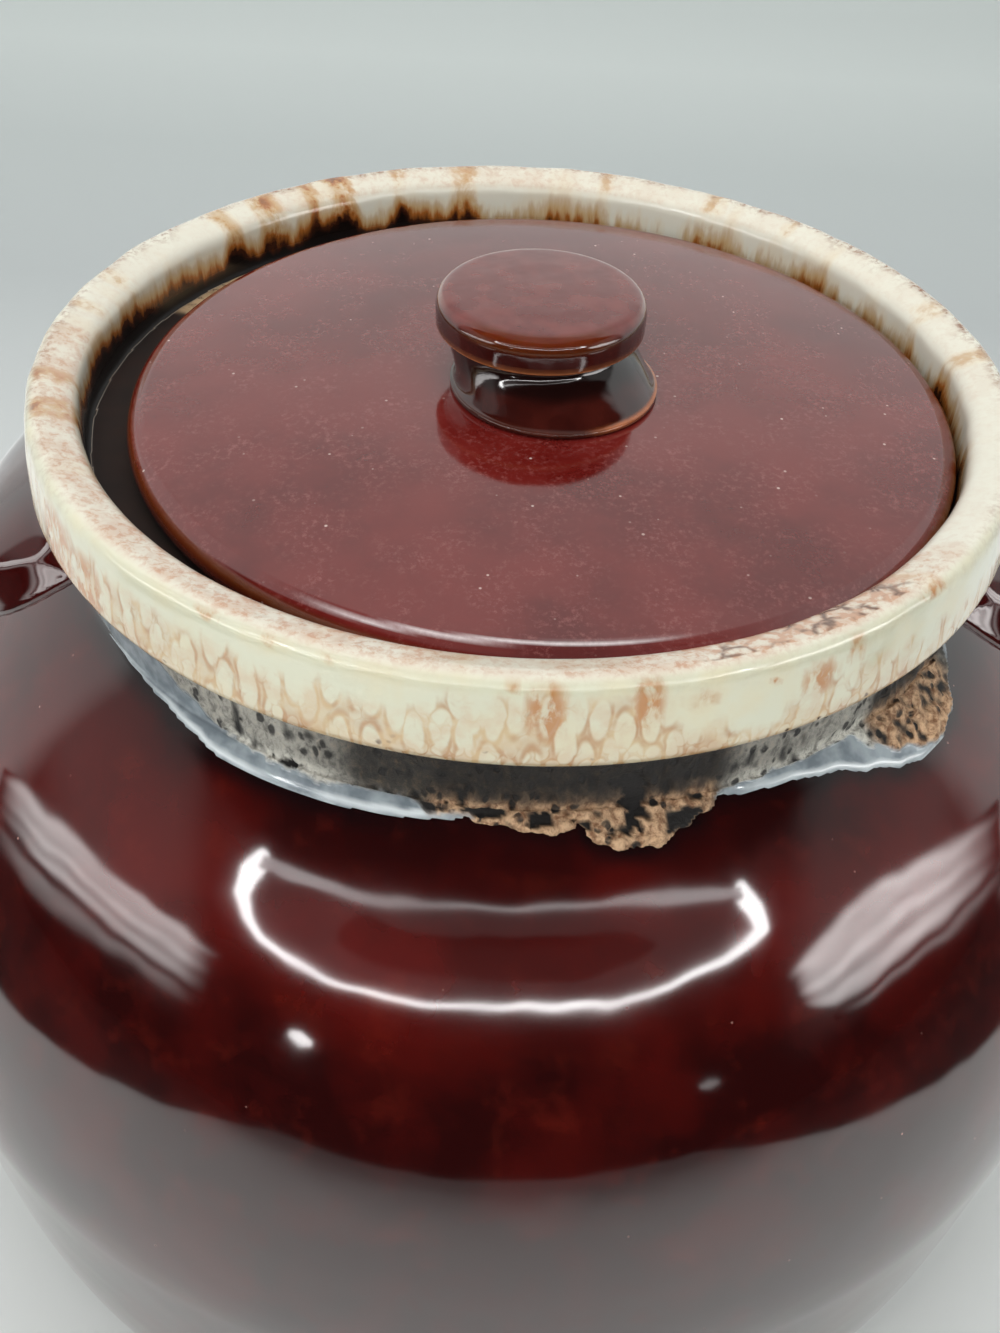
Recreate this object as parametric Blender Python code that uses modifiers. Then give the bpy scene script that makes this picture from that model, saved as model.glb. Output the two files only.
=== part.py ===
"""Two-handled stoneware bean pot with a heavy collar, a recessed lid and a flat round knob.

Metres, +Z up. The origin is the middle of the foot, on the surface the pot stands on.
The pot and the lid are turned on a wheel, so their shapes are profiles spun round Z.
"""
import math

import bmesh
import bpy
from mathutils import Vector

# Pot, outside
POT_HEIGHT = 0.182
BELLY_RADIUS = 0.1185
BELLY_HEIGHT = 0.083
SHOULDER_FULLNESS = 1.8
BASE_FULLNESS = 6.0
FOOT_RADIUS = 0.084
FOOT_HEIGHT = 0.004
FOOT_TAPER = 0.0012
FOOT_WIDTH = 0.007
FOOT_RECESS = 0.003

# Pot, inside
WALL = 0.0065
FLOOR = 0.0075
INNER_BASE_FULLNESS = 7.0
INNER_SHOULDER_FULLNESS = 1.52

# Collar round the mouth, with the neck it overhangs
COLLAR_RADIUS = 0.076
COLLAR_HEIGHT = 0.013
COLLAR_FLARE = 0.0018
COLLAR_TOP_ROUND = 0.0026
COLLAR_FOOT_ROUND = 0.0022
RIM_DROP = 0.0026
RIM_INNER_ROUND = 0.0014
NECK_RADIUS = 0.0735
NECK_DROP = 0.0245
NECK_COVE = 0.0030
UNDERCUT = 0.0030

# Gallery, the ledge inside the collar that carries the lid
LID_CLEARANCE = 0.0041
LEDGE_DEPTH = 0.0115
LEDGE_OVERLAP = 0.0055
LEDGE_THICKNESS = 0.0052
LEDGE_ROUND = 0.0010

# Lid, lying a little off centre in its gallery
LID_RADIUS = 0.065
LID_EDGE = 0.0055
LID_CROWN = 0.0026
LID_WALL = 0.0060
LID_RIM_WIDTH = 0.0085
LID_EDGE_TOP_DEG = 75.0
LID_SHIFT_X = 0.0030
LID_SHIFT_Y = -0.0023

# Knob, luted on with slip
KNOB_RADIUS = 0.0161
KNOB_HEIGHT = 0.0136
KNOB_DISC = 0.0058
KNOB_TOP_ROUND = 0.0040
KNOB_CROWN = 0.0006
KNOB_WAIST_RADIUS = 0.0144
KNOB_BASE_RADIUS = 0.0178
KNOB_BASE_EDGE = 0.0007
KNOB_FLARE_HEIGHT = 0.0060
KNOB_SHIFT_X = -0.0012

# Handles, a solid rounded lug at each side, drooping from under the collar
LUG_REACH = 0.0945
LUG_HALF_WIDTH = 0.0300
LUG_HALF_THICKNESS = 0.0105
LUG_FULLNESS = 2.6
LUG_DROP = 0.0290
LUG_DROOP_DEG = 30.0
LUG_TURN_DEG = 1.0

# Fits
SEAT_GAP = 0.0003

# Glaze colours
POT_COLOUR = (0.060, 0.006, 0.005)
LID_COLOUR = (0.075, 0.007, 0.006)
POT_ROUGHNESS = 0.08
LID_ROUGHNESS = 0.07

# Smoothness: segments round each piece, and rings along the curved runs of each profile
POT_STEPS = 64
LID_STEPS = 64
KNOB_STEPS = 40
LUG_STEPS = 40
SHOULDER_RINGS = 11
BASE_RINGS = 13
INNER_BASE_RINGS = 13
INNER_SHOULDER_RINGS = 9
LID_RINGS = 6
KNOB_RINGS = 8
MERGE = 0.00001

MOUTH_RADIUS = LID_RADIUS + LID_CLEARANCE
THROAT_RADIUS = LID_RADIUS - LEDGE_OVERLAP
LEDGE_Z = POT_HEIGHT - LEDGE_DEPTH


# Profile tools: a profile is a list of (radius, height) points

def curved_wall(widest, middle, through, fullness, steps):
    """Quarter of a superellipse from the widest radius at height middle to the point through."""
    radius, height = through
    reach = (height - middle) / (1 - (radius / widest) ** fullness) ** (1 / fullness)
    last = math.acos((radius / widest) ** (fullness / 2))
    points = []
    for step in range(steps + 1):
        angle = last * step / steps
        points.append((widest * abs(math.cos(angle)) ** (2 / fullness),
                       middle + reach * math.sin(angle) ** (2 / fullness)))
    return points


def round_corner(before, corner, after, radius, steps=3):
    """Arc of the given radius that replaces the corner between two straight runs."""
    corner = Vector(corner)
    back = (Vector(before) - corner)
    ahead = (Vector(after) - corner)
    half = back.angle(ahead) / 2
    setback = min(radius / math.tan(half), 0.49 * back.length, 0.49 * ahead.length)
    radius = setback * math.tan(half)
    back.normalize()
    ahead.normalize()
    centre = corner + (back + ahead).normalized() * (radius / math.sin(half))
    start = corner + back * setback - centre
    end = corner + ahead * setback - centre
    turn = start.angle_signed(end)
    points = []
    for step in range(steps + 1):
        angle = turn * step / steps
        cosine, sine = math.cos(angle), math.sin(angle)
        arm = Vector((start.x * cosine + start.y * sine, start.y * cosine - start.x * sine))
        points.append(tuple(centre + arm))
    return points


def stand_off(points, gap):
    """The profile moved outwards by gap, square to each of its runs."""
    moved = []
    for index, point in enumerate(points):
        before = Vector(points[max(index - 1, 0)])
        after = Vector(points[min(index + 1, len(points) - 1)])
        along = (after - before).normalized()
        moved.append((point[0] - along.y * gap, point[1] + along.x * gap))
    return moved


def turned(name, profile, steps, collection, material=None):
    """Object whose profile, run down its outer side, is spun once round Z."""
    mesh = bpy.data.meshes.new(name)
    vertices = [(max(radius, 0.0), 0.0, height) for radius, height in profile]
    edges = [(index, index + 1) for index in range(len(vertices) - 1)]
    mesh.from_pydata(vertices, edges, [])
    piece = bpy.data.objects.new(name, mesh)
    collection.objects.link(piece)
    spin = piece.modifiers.new("spin", "SCREW")
    spin.axis = "Z"
    spin.angle = math.tau
    spin.steps = steps
    spin.render_steps = steps
    spin.use_merge_vertices = True
    spin.merge_threshold = MERGE
    spin.use_smooth_shade = True
    if material:
        mesh.materials.append(material)
    return piece


def glaze(name, colour, roughness):
    """Fired glaze with one colour and gloss."""
    material = bpy.data.materials.new(name)
    material.use_nodes = True
    shader = material.node_tree.nodes["Principled BSDF"]
    shader.inputs["Base Color"].default_value = (*colour, 1.0)
    shader.inputs["Roughness"].default_value = roughness
    shader.inputs["Metallic"].default_value = 0.0
    return material


# Pot: mouth, collar, shoulder, belly, foot and the hollow inside

def collar_outside():
    """From the rim's inner edge over the sloping rim and down the collar to the neck."""
    inner_edge = (MOUTH_RADIUS, POT_HEIGHT - RIM_DROP)
    top_edge = (COLLAR_RADIUS, POT_HEIGHT)
    low_edge = (COLLAR_RADIUS + COLLAR_FLARE, POT_HEIGHT - COLLAR_HEIGHT)
    neck_top = (NECK_RADIUS, POT_HEIGHT - COLLAR_HEIGHT - UNDERCUT)
    neck_foot = (NECK_RADIUS, POT_HEIGHT - NECK_DROP)
    shoulder = shoulder_outside()
    points = round_corner(inner_edge, top_edge, low_edge, COLLAR_TOP_ROUND, 4)
    points += round_corner(top_edge, low_edge, neck_top, COLLAR_FOOT_ROUND, 4)
    points += [neck_top]
    points += round_corner(neck_top, neck_foot, shoulder[1], NECK_COVE, 3)
    return points


def shoulder_outside():
    """From the neck out to the belly's widest circle."""
    neck = (NECK_RADIUS, POT_HEIGHT - NECK_DROP)
    return curved_wall(BELLY_RADIUS, BELLY_HEIGHT, neck, SHOULDER_FULLNESS, SHOULDER_RINGS)[::-1]


def base_outside():
    """From the belly's widest circle in to the foot, and across the foot ring to its recess."""
    foot_top = (FOOT_RADIUS, FOOT_HEIGHT)
    ring_outer = FOOT_RADIUS - FOOT_TAPER
    ring_inner = FOOT_RADIUS - FOOT_WIDTH
    points = curved_wall(BELLY_RADIUS, BELLY_HEIGHT, foot_top, BASE_FULLNESS, BASE_RINGS)[1:]
    points += [(ring_outer, 0.0), (ring_inner, 0.0), (ring_inner - FOOT_TAPER, FOOT_RECESS)]
    return points


def mouth_inside():
    """From under the ledge up the throat, across the ledge and up to the rim's inner edge."""
    throat_low = (THROAT_RADIUS, LEDGE_Z - LEDGE_THICKNESS)
    throat_top = (THROAT_RADIUS, LEDGE_Z)
    ledge_back = (MOUTH_RADIUS, LEDGE_Z)
    rim_inner = (MOUTH_RADIUS, POT_HEIGHT - RIM_DROP)
    rim_outer = (COLLAR_RADIUS, POT_HEIGHT)
    points = round_corner(throat_low, throat_top, ledge_back, LEDGE_ROUND, 2)
    points += round_corner(throat_top, ledge_back, rim_inner, LEDGE_ROUND, 2)
    points += round_corner(ledge_back, rim_inner, rim_outer, RIM_INNER_ROUND, 3)
    return points


def cavity():
    """From the middle of the floor up the inner wall to the underside of the ledge."""
    widest = BELLY_RADIUS - WALL
    floor = (0.0, FOOT_RECESS + FLOOR)
    throat_low = (THROAT_RADIUS, LEDGE_Z - LEDGE_THICKNESS)
    lower = curved_wall(widest, BELLY_HEIGHT, floor, INNER_BASE_FULLNESS, INNER_BASE_RINGS)
    upper = curved_wall(widest, BELLY_HEIGHT, throat_low, INNER_SHOULDER_FULLNESS, INNER_SHOULDER_RINGS)
    return lower[::-1] + upper[1:]


def make_pot(collection):
    """One turned wall from the floor inside, over the rim, down to the foot's recess."""
    profile = cavity() + mouth_inside() + collar_outside() + shoulder_outside()[1:] + base_outside()
    profile.append((0.0, FOOT_RECESS))
    pot_glaze = glaze("pot_glaze", POT_COLOUR, POT_ROUGHNESS)
    return turned("pot_body", profile, POT_STEPS, collection, pot_glaze)


# Handles: solid lugs whose inner ends are cut to the neck and shoulder

def make_envelope(collection):
    """Solid of the pot's outside, a seat gap larger and run on past the rim, that trims the handles' ends."""
    skin = stand_off(collar_outside() + shoulder_outside()[1:], SEAT_GAP)
    past_rim = POT_HEIGHT + LUG_REACH
    profile = [(0.0, past_rim), (skin[0][0], past_rim)] + skin + [(0.0, skin[-1][1])]
    envelope = turned("pot_envelope", profile, POT_STEPS, collection)
    envelope.hide_render = True
    envelope.display_type = "WIRE"
    return envelope


def make_lug(name, heading, envelope, collection, material):
    """Flattened, square-shouldered ball of clay with its inner half cut to fit the pot's wall."""
    centre_radius = NECK_RADIUS - WALL
    droop = math.radians(LUG_DROOP_DEG)
    half_length = (LUG_REACH - centre_radius) / math.cos(droop)
    height = POT_HEIGHT - LUG_DROP + WALL * math.tan(droop)
    mesh = bpy.data.meshes.new(name)
    ball = bmesh.new()
    bmesh.ops.create_uvsphere(ball, u_segments=LUG_STEPS, v_segments=LUG_STEPS // 2, radius=1.0)
    for vertex in ball.verts:
        vertex.co /= sum(abs(part) ** LUG_FULLNESS for part in vertex.co) ** (1 / LUG_FULLNESS)
    bmesh.ops.scale(ball, vec=(half_length, LUG_HALF_WIDTH, LUG_HALF_THICKNESS), verts=ball.verts)
    ball.to_mesh(mesh)
    ball.free()
    mesh.materials.append(material)
    mesh.shade_smooth()
    lug = bpy.data.objects.new(name, mesh)
    lug.location = (centre_radius * math.cos(heading), centre_radius * math.sin(heading), height)
    lug.rotation_euler = (0.0, droop, heading)
    collection.objects.link(lug)

    trim = lug.modifiers.new("trim", "BOOLEAN")
    trim.operation = "DIFFERENCE"
    trim.solver = "EXACT"
    trim.object = envelope
    return lug


# Lid: shallow dome of even thickness with a round edge and a flat seat

def lid_height(radius):
    """Height of the lid's top above its seat."""
    pad = KNOB_BASE_RADIUS + abs(KNOB_SHIFT_X)
    span = max(radius - pad, 0.0) / (LID_RADIUS - pad)
    return LID_EDGE + LID_CROWN * (1 - span ** 2)


def make_lid(collection):
    """Lid with its origin on the axis it lifts along, at the height of its seat."""
    edge_round = LID_EDGE / 2
    shoulder = LID_RADIUS - edge_round
    pad = KNOB_BASE_RADIUS + abs(KNOB_SHIFT_X)
    rim_inner = LID_RADIUS - LID_RIM_WIDTH
    top = [(0.0, lid_height(0.0))]
    for step in range(LID_RINGS + 1):
        radius = pad + (shoulder - pad) * step / LID_RINGS
        top.append((radius, lid_height(radius)))
    edge = []
    edge_top = math.radians(LID_EDGE_TOP_DEG)
    edge_foot = -math.pi / 2
    for step in range(LID_RINGS + 1):
        angle = edge_top + (edge_foot - edge_top) * step / LID_RINGS
        edge.append((shoulder + edge_round * math.cos(angle), edge_round * (1 + math.sin(angle))))
    hollow = lid_height(0.0) - LID_WALL
    under = []
    for step in range(LID_RINGS + 1):
        share = step / LID_RINGS
        under.append((rim_inner * (1 - share), hollow * math.sin(share * math.pi / 2)))
    lid_glaze = glaze("lid_glaze", LID_COLOUR, LID_ROUGHNESS)
    lid = turned("lid_disc", top + edge + under, LID_STEPS, collection, lid_glaze)
    lid.location = (LID_SHIFT_X, LID_SHIFT_Y, LEDGE_Z + SEAT_GAP)
    return lid


# Knob: flat disc over a shallow waist that spreads to its base

def make_knob(lid, collection):
    """Knob standing on the flat middle of the lid."""
    underside = KNOB_HEIGHT - KNOB_DISC
    rim_top = (KNOB_RADIUS, KNOB_HEIGHT - KNOB_CROWN)
    rim_low = (KNOB_RADIUS, underside)
    top = [(0.0, KNOB_HEIGHT), (KNOB_RADIUS / 2, KNOB_HEIGHT - KNOB_CROWN / 4)]
    rim = round_corner(top[0], rim_top, (KNOB_RADIUS, 0.0), KNOB_TOP_ROUND, 6)
    waist = []
    spread = KNOB_BASE_RADIUS - KNOB_WAIST_RADIUS
    for step in range(KNOB_RINGS + 1):
        angle = math.pi / 2 * step / KNOB_RINGS
        waist.append((KNOB_WAIST_RADIUS + spread * (1 - math.cos(angle)),
                      KNOB_BASE_EDGE + KNOB_FLARE_HEIGHT * (1 - math.sin(angle))))
    profile = top + rim + [rim_low] + waist
    profile += [(KNOB_BASE_RADIUS, 0.0), (0.0, 0.0)]
    knob_glaze = glaze("knob_glaze", LID_COLOUR, LID_ROUGHNESS)
    knob = turned("lid_knob", profile, KNOB_STEPS, collection, knob_glaze)
    knob.parent = lid
    knob.location = (KNOB_SHIFT_X, 0.0, lid_height(0.0) + SEAT_GAP)
    return knob


for leftover in list(bpy.context.scene.objects):
    bpy.data.objects.remove(leftover, do_unlink=True)

bean_pot = bpy.data.collections.new("bean_pot")
cutters = bpy.data.collections.new("cutters")
bpy.context.scene.collection.children.link(bean_pot)
bpy.context.scene.collection.children.link(cutters)

make_pot(bean_pot)
pot_envelope = make_envelope(cutters)
handle_glaze = glaze("handle_glaze", POT_COLOUR, POT_ROUGHNESS)
turn_to_side = math.radians(LUG_TURN_DEG)
make_lug("handle_right", turn_to_side, pot_envelope, bean_pot, handle_glaze)
make_lug("handle_left", turn_to_side + math.pi, pot_envelope, bean_pot, handle_glaze)
lid_disc = make_lid(bean_pot)
make_knob(lid_disc, bean_pot)
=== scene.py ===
"""Stoneware bean pot with an oxblood glaze, a cream drip collar and a recessed lid, seen from close above."""
import math

import bmesh
import bpy
from mathutils import Matrix, Vector, noise


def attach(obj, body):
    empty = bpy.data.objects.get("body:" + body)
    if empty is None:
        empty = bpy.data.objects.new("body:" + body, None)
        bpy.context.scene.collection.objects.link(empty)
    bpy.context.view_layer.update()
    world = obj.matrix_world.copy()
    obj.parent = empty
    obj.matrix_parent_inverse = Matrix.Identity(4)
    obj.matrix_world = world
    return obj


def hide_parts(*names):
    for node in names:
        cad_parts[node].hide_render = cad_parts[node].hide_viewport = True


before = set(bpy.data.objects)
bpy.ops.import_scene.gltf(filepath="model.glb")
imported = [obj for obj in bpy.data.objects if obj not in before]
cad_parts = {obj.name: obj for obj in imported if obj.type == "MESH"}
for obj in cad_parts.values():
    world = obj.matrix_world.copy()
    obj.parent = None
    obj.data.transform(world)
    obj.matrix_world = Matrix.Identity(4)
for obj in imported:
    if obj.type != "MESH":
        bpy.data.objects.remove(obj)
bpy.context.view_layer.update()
scene = bpy.context.scene

# The camera looks down at the lid from close in front of the pot, leaning a little to one side.
# Its frame is 1000 by 1333, and its place is given in collar radii from the middle of the rim.
COLLAR_RADIUS = 0.076
RIM_HEIGHT = 0.182
LOOK_DOWN = math.radians(43.543)
LEAN = math.radians(3.101)
CAMERA_PLACE = (-0.01993, -2.27260, 1.23167)
FRAME_WIDTH = 1000
FRAME_HEIGHT = 1333
FOCAL_LENGTH = 1200
SENSOR = 36
ahead = Vector((0, math.cos(LOOK_DOWN), -math.sin(LOOK_DOWN)))
level = Vector((1, 0, 0))
above = level.cross(ahead)
side = level * math.cos(LEAN) + above * math.sin(LEAN)
top = above * math.cos(LEAN) - level * math.sin(LEAN)
camera_data = bpy.data.cameras.new("camera")
camera_data.sensor_fit = "AUTO"
camera_data.sensor_width = SENSOR
camera_data.lens = FOCAL_LENGTH / FRAME_HEIGHT * SENSOR
camera_data.clip_start = 0.001
camera = bpy.data.objects.new("camera", camera_data)
scene.collection.objects.link(camera)
turn = Matrix((side, top, -ahead)).transposed().to_4x4()
viewpoint = Vector([share * COLLAR_RADIUS for share in CAMERA_PLACE])
viewpoint.z += RIM_HEIGHT
camera.matrix_world = Matrix.Translation(viewpoint) @ turn
scene.camera = camera
scene.view_settings.view_transform = "Standard"


# The pot is one turned wall of buff stoneware: foot ring, round belly, low shoulder, short neck
# and a heavy collar with a ledge inside it for the lid. It was dipped in a dark oxblood glaze,
# and the collar and mouth in a cream one that ran and broke into a caramel lace as it melted.
NECK_RADIUS = 0.0735
NECK_FOOT = RIM_HEIGHT - 0.0245
COLLAR_FOOT = RIM_HEIGHT - 0.013
COLLAR_FLARE = 0.0018
RIM_DROP = 0.0026
MOUTH_RADIUS = 0.0691
LEDGE_HEIGHT = RIM_HEIGHT - 0.0115
THROAT_RADIUS = 0.0595
THROAT_FOOT = LEDGE_HEIGHT - 0.0052
BELLY_RADIUS = 0.1185
BELLY_HEIGHT = 0.083
SHOULDER_FULLNESS = 1.8
WALL = 0.0065
FLOOR_INSIDE = 0.0105
FOOT_RADIUS = 0.084
FOOT_HEIGHT = 0.004
FOOT_INSIDE = 0.077
FOOT_HOLLOW = 0.003
FOOT_ROUND = 0.0012
FINE_RUN = 0.0009
POT_STEPS = 420


def wall_reach(widest, middle, through, fullness):
    """How far above or below its widest circle a swelling wall would close on the axis."""
    radius, height = through
    return (height - middle) / (1 - (radius / widest) ** fullness) ** (1 / fullness)


def curved_wall(widest, middle, through, fullness, steps):
    """Profile points of a swelling wall, from its widest circle to the point that it runs through."""
    reach = wall_reach(widest, middle, through, fullness)
    last = math.acos((through[0] / widest) ** (fullness / 2))
    angles = [last * step / steps for step in range(steps + 1)]
    power = 2 / fullness
    return [(widest * abs(math.cos(angle)) ** power, middle + reach * math.sin(angle) ** power)
            for angle in angles]


def rounded(points, radii, steps=6):
    """The profile with an arc of the given radius in place of each corner that has one."""
    finished = []
    for index, point in enumerate(points):
        if not radii.get(index):
            finished.append(point)
            continue
        corner = Vector(point)
        back = Vector(points[index - 1]) - corner
        on = Vector(points[index + 1]) - corner
        half = back.angle(on) / 2
        setback = min(radii[index] / math.tan(half), 0.49 * back.length, 0.49 * on.length)
        start = corner + back.normalized() * setback
        end = corner + on.normalized() * setback
        for step in range(steps + 1):
            share = step / steps
            left = 1 - share
            finished.append(tuple(start * left ** 2 + corner * 2 * share * left + end * share ** 2))
    return finished


def evenly(points, spacing):
    """The profile with points added so that none of its runs is longer than spacing."""
    finished = [points[0]]
    for start, end in zip(points, points[1:]):
        parts = max(1, math.ceil(math.dist(start, end) / spacing))
        for part in range(1, parts + 1):
            finished.append(tuple(a + (b - a) * part / parts for a, b in zip(start, end)))
    return finished


def turned(name, profile, steps, centre=(0.0, 0.0, 0.0)):
    """Piece whose profile, run down its outer side, is spun once round an upright axis."""
    shape = bmesh.new()
    ring = [shape.verts.new((radius, 0.0, height)) for radius, height in profile]
    line = [shape.edges.new(pair) for pair in zip(ring, ring[1:])]
    bmesh.ops.spin(shape, geom=ring + line, cent=(0, 0, 0), axis=(0, 0, 1), angle=math.tau,
                   steps=steps, use_merge=True)
    bmesh.ops.remove_doubles(shape, verts=shape.verts, dist=0.000002)
    bmesh.ops.recalc_face_normals(shape, faces=shape.faces)
    bmesh.ops.translate(shape, verts=shape.verts, vec=centre)
    return piece_from(name, shape)


def piece_from(name, shape):
    """Smooth-shaded object made from a finished bmesh."""
    mesh = bpy.data.meshes.new(name)
    shape.to_mesh(mesh)
    shape.free()
    mesh.shade_smooth()
    piece = bpy.data.objects.new(name, mesh)
    scene.collection.objects.link(piece)
    return piece


def ramp(value, low, high):
    """0 at low and 1 at high, eased at both ends."""
    share = min(max((value - low) / (high - low), 0.0), 1.0)
    return share * share * (3 - 2 * share)


def heading(point):
    """Direction of a point from the pot's axis, in degrees, with -90 at the front."""
    return math.degrees(math.atan2(point.y, point.x))


def turn_from(point, degrees):
    """How far round the pot a point is from a direction, in degrees."""
    return (heading(point) - degrees + 180) % 360 - 180


def wander(point, size, seed=0.0):
    """Smooth wander from -1 to 1 over patches of about that size in metres."""
    return noise.noise(point / size + Vector((seed, seed * 1.7, seed * 0.6)))


collar_low = (COLLAR_RADIUS + COLLAR_FLARE, COLLAR_FOOT)
neck_top = (NECK_RADIUS, COLLAR_FOOT - 0.003)
neck_foot = (NECK_RADIUS, NECK_FOOT)
shoulder = curved_wall(BELLY_RADIUS, BELLY_HEIGHT, neck_foot, SHOULDER_FULLNESS, 44)[::-1]
outside = rounded([(MOUTH_RADIUS, RIM_HEIGHT - RIM_DROP), (COLLAR_RADIUS, RIM_HEIGHT), collar_low, neck_top,
                   neck_foot, shoulder[2]], {1: 0.0026, 2: 0.0022, 4: 0.003}, 8)[1:-1]
outside = evenly(outside, FINE_RUN) + shoulder[2:]
base = curved_wall(BELLY_RADIUS, BELLY_HEIGHT, (FOOT_RADIUS, FOOT_HEIGHT), 6.0, 30)[1:]
foot = [(FOOT_RADIUS - FOOT_ROUND, 0.0), (FOOT_INSIDE, 0.0), (FOOT_INSIDE - FOOT_ROUND, FOOT_HOLLOW),
        (0.0, FOOT_HOLLOW)]
mouth = rounded([(THROAT_RADIUS, THROAT_FOOT), (THROAT_RADIUS, LEDGE_HEIGHT), (MOUTH_RADIUS, LEDGE_HEIGHT),
                 (MOUTH_RADIUS, RIM_HEIGHT - RIM_DROP), (COLLAR_RADIUS, RIM_HEIGHT)],
                {1: 0.001, 2: 0.001, 3: 0.0030}, 8)[:-1]
hollow = BELLY_RADIUS - WALL
bowl = curved_wall(hollow, BELLY_HEIGHT, (0.0, FLOOR_INSIDE), 7.0, 24)[::-1]
under_ledge = curved_wall(hollow, BELLY_HEIGHT, (THROAT_RADIUS, THROAT_FOOT), 1.52, 20)[1:-1]
pot = turned("pot_wall", bowl + under_ledge + evenly(mouth, FINE_RUN) + outside + base + foot, POT_STEPS)

# The collar was thrown by hand, so it is not quite even
for vertex in pot.data.vertices:
    point = vertex.co
    out = Vector((point.x, point.y, 0)).normalized()
    on_collar = ramp(point.z, COLLAR_FOOT - 0.002, COLLAR_FOOT + 0.002)
    lumps = 0.00022 * wander(point, 0.012) + 0.00012 * wander(point, 0.004, 5)
    vertex.co = point + out * on_collar * lumps + Vector((0, 0, on_collar * lumps * 0.8))


class Tap:
    """One value, colour or place in a glaze's recipe. A sum on it adds the maths nodes that work it out."""

    def __init__(self, socket):
        self.socket = socket

    def node(self, kind, settings, sockets, out=0):
        """Adds a shader node of that kind to the recipe, settings first, and returns one of its outputs."""
        tree = self.socket.id_data
        made = tree.nodes.new("ShaderNode" + kind)
        for setting, value in settings.items():
            if setting == "stops":
                while len(made.color_ramp.elements) < len(value):
                    made.color_ramp.elements.new(0.5)
                for stop, (position, colour) in zip(made.color_ramp.elements, value):
                    stop.position = position
                    stop.color = colour
            else:
                setattr(made, setting, value)
        for port, value in sockets.items():
            if isinstance(value, Tap):
                tree.links.new(value.socket, made.inputs[port])
            else:
                made.inputs[port].default_value = value
        return Tap(made.outputs[out])

    def maths(self, operation, first, second):
        return self.node("Math", {"operation": operation}, {0: first, 1: second})

    def __add__(self, other):
        return self.maths("ADD", self, other)

    def __radd__(self, other):
        return self.maths("ADD", other, self)

    def __sub__(self, other):
        return self.maths("SUBTRACT", self, other)

    def __rsub__(self, other):
        return self.maths("SUBTRACT", other, self)

    def __mul__(self, other):
        return self.maths("MULTIPLY", self, other)

    def __rmul__(self, other):
        return self.maths("MULTIPLY", other, self)

    def clamp(self):
        return self.node("Clamp", {}, {"Value": self})

    def over(self, low, high):
        """0 at low and 1 at high, eased at both ends."""
        return self.node("MapRange", {"interpolation_type": "SMOOTHSTEP"},
                         {"Value": self, "From Min": low, "From Max": high})

    def mix(self, without, with_it):
        """Colour that goes from the first to the second as this value goes from 0 to 1."""
        return self.node("Mix", {"data_type": "RGBA"}, {0: self, 6: without, 7: with_it}, 2)

    def part(self, axis):
        """One of this place's three measures."""
        return self.node("SeparateXYZ", {}, {0: self}, axis)

    def place(self, operation, sockets, out=0):
        """A place or a length worked out from this place by a Vector Math node."""
        return self.node("VectorMath", {"operation": operation}, {0: self, **sockets}, out)

    def stretched(self, x, y, z):
        """This place with each of its measures multiplied."""
        return self.place("MULTIPLY", {1: (x, y, z)})

    def clouds(self, size, detail=3.0, roughness=0.55):
        """Soft mottling from 0 to 1 over patches of about that size in metres."""
        return self.node("TexNoise", {}, {"Vector": self, "Scale": 1 / size, "Detail": detail,
                                                    "Roughness": roughness})

    def bent(self, size, amount):
        """This place moved about by up to amount over patches of about size, both in metres."""
        drift = self.node("TexNoise", {}, {"Vector": self, "Scale": 1 / size, "Detail": 2.0}, 1)
        drift = drift.place("SUBTRACT", {1: (0.5, 0.5, 0.5)}).place("SCALE", {"Scale": 2 * amount})
        return self.place("ADD", {1: drift})

    def cells(self, size, feature="F1", dimensions="3D"):
        """Distance to the middle or, as DISTANCE_TO_EDGE, to the edge of cells of about that size."""
        return self.node("TexVoronoi", {"feature": feature, "voronoi_dimensions": dimensions},
                         {"Vector": self, "Scale": 1 / size})

    def relief(self, depth, distance):
        """Surface direction with this value raised as a bump."""
        return self.node("Bump", {}, {"Height": self, "Strength": depth, "Distance": distance})

    def read(self, name):
        """An amount painted on the vertices."""
        return self.node("Attribute", {"attribute_name": name}, {}, 2)


def tone(red, green, blue):
    """Colour given as it looks, 0 to 255 for each of its parts."""
    parts = [value / 255 for value in (red, green, blue)]
    return (*[part / 12.92 if part <= 0.04045 else ((part + 0.055) / 1.055) ** 2.4 for part in parts], 1.0)


def blank(name):
    """New material, its shader, and the place on the piece that its recipe starts from."""
    material = bpy.data.materials.new(name)
    material.use_nodes = True
    nodes = material.node_tree.nodes
    return material, nodes["Principled BSDF"], Tap(nodes.new("ShaderNodeTexCoord").outputs["Object"])


def steady(shader, amounts):
    """Sets what is the same all over the surface."""
    for port, amount in amounts.items():
        shader.inputs[port].default_value = amount


def fired(name, gloss=1.7):
    """New glaze with that index of refraction, as blank gives it."""
    material, shader, place = blank(name)
    steady(shader, {"IOR": gloss})
    return material, shader, place


def finish(shader, sockets):
    """Feeds the recipe's results to the shader."""
    for port, value in sockets.items():
        shader.id_data.links.new(value.socket, shader.inputs[port])


OXBLOOD = tone(84, 13, 9)
OXBLOOD_THIN = tone(116, 34, 20)
OXBLOOD_DARK = tone(38, 5, 5)
IVORY = tone(210, 209, 186)
CREAM = tone(212, 204, 174)
BLUSH = tone(204, 182, 152)
TAN = tone(196, 162, 116)
CARAMEL = tone(170, 118, 66)
AMBER = tone(164, 98, 42)
BURNT = tone(70, 34, 18)
BLACK_BROWN = tone(18, 11, 9)
BUFF_CLAY = tone(196, 172, 140)
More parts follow.
